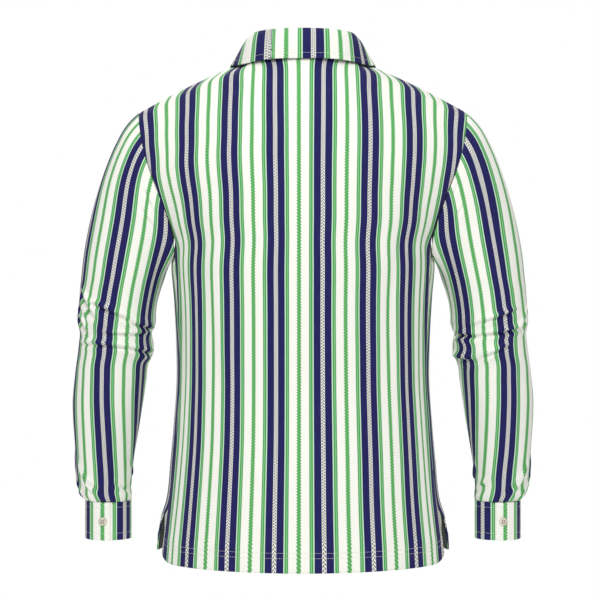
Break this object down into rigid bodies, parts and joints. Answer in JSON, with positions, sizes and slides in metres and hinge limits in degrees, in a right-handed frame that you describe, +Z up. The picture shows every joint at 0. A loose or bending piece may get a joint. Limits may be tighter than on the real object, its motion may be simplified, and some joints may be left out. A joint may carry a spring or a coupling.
{
  "type": "long-sleeve golf polo",
  "caption": "Long-sleeve striped polo shirt in its filled, worn shape, open at neck, cuffs and hem, with a turned-down collar.",
  "frame": {"origin": "middle of the neck, at the height where the collar meets the shoulders", "axes": "+Z up along the body, +Y out of the back, +X towards the wearer's left; the front faces -Y"},
  "size_m": [0.662, 0.2655, 0.7501],
  "materials": {
    "striped_knit": "matt",
    "dark_knit": "matt",
    "button": "satin"
  },
  "bodies": {
    "root": {"back": "striped_knit", "front": "striped_knit", "sleeve_left": "striped_knit", "sleeve_right": "striped_knit", "cuff_left": "striped_knit", "cuff_right": "striped_knit", "collar_stand": "striped_knit", "collar_leaf": "striped_knit", "under_collar": "dark_knit", "placket_over": "striped_knit", "placket_under": "striped_knit", "button_front_1": "button", "button_front_2": "button", "button_front_3": "button", "button_cuff_left": "button", "button_cuff_right": "button"}
  },
  "joints": []
}
